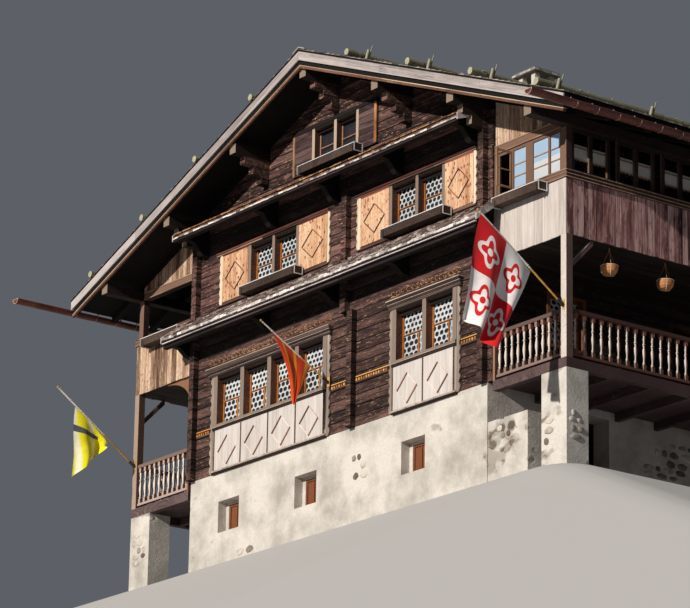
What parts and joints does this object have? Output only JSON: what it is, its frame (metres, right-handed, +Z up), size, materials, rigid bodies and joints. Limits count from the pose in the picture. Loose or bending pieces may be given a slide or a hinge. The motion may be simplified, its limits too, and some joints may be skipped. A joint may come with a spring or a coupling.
{
  "type": "alpine chalet",
  "caption": "Squared-log chalet on a whitewashed stone basement, with a low gable roof, pent roofs, side verandas with galleries, drop shutters and flagpoles.",
  "frame": {"origin": "on the ground, at the centre of the log body's plan", "axes": "+X along the gable front to the right as seen from the front, +Y from the front gable to the back gable, +Z up"},
  "size_m": [16.586, 13.3, 10.44],
  "materials": {
    "whitewash": "rough lime plaster with bare stones showing",
    "concrete": "plain screed",
    "log_wood": "squared larch logs, sun-darkened",
    "frame_wood": "weathered brown joinery",
    "floor_wood": "plain boards",
    "grey_wood": "weathered grey shingles and boards",
    "glass": "clear leaded panes",
    "panel_paint": "pale painted boards with brown fillets",
    "trim_wood": "carved and moulded larch",
    "pine": "knotty pine shutters",
    "dark_board": "dark weathered boards",
    "deck_wood": "mauve-grey weathered beams",
    "pale_wood": "pale dry wood",
    "beam_wood": "dark beams",
    "bright_board": "pale upright boards",
    "brown_board": "brown upright boards",
    "shingle": "split wooden shingles",
    "copper_paint": "brown sheet metal",
    "mossy_wood": "barked poles, dry and mossy",
    "slab_stone": "rough stone slab",
    "box_wood": "grey boards and white brackets",
    "clay": "round clay pot",
    "pole_wood": "varnished poles",
    "flag_red": "thin printed cloth",
    "flag_yellow": "thin printed cloth",
    "flag_orange": "thin printed cloth"
  },
  "bodies": {
    "root": {"foundation_front": "whitewash", "foundation_back": "whitewash", "foundation_left": "whitewash", "foundation_right": "whitewash", "basement_floor": "concrete", "basement_windows": "frame_wood", "veranda_piers": "whitewash", "living_floor": "floor_wood", "upper_floor": "floor_wood", "attic_floor": "floor_wood", "lower_front_wall": "log_wood", "lower_back_wall": "log_wood", "lower_left_wall": "log_wood", "lower_right_wall": "log_wood", "upper_front_wall": "log_wood", "upper_back_wall": "log_wood", "upper_left_wall": "log_wood", "upper_right_wall": "log_wood", "attic_front_gable": "log_wood", "attic_back_gable": "log_wood", "lower_pent_roof": "grey_wood", "upper_pent_roof": "grey_wood", "lower_windows": "frame_wood", "upper_windows": "frame_wood", "attic_windows": "frame_wood", "window_glass": "glass", "drop_panels": "panel_paint", "carved_trim": "trim_wood", "upper_shutters": "pine", "attic_shutters": "dark_board", "side_doors": "frame_wood", "veranda_decks": "deck_wood", "veranda_posts": "pale_wood", "right_railing": "pale_wood", "left_railing": "pale_wood", "gallery_floors": "floor_wood", "gallery_beams": "beam_wood", "right_gallery_boards": "bright_board", "left_gallery_boards": "brown_board", "gallery_windows": "frame_wood", "gallery_glass": "glass", "purlins": "beam_wood", "rafters": "beam_wood", "roof_left": "shingle", "roof_right": "shingle", "verge_boards": "grey_wood", "gutters": "copper_paint", "snow_logs": "mossy_wood", "chimney_stack": "whitewash", "chimney_cap": "slab_stone", "flower_boxes": "box_wood", "hanging_pots": "clay", "flagpoles": "pole_wood", "right_flag": "flag_red", "left_flag": "flag_yellow", "pennant": "flag_orange"}
  },
  "joints": []
}
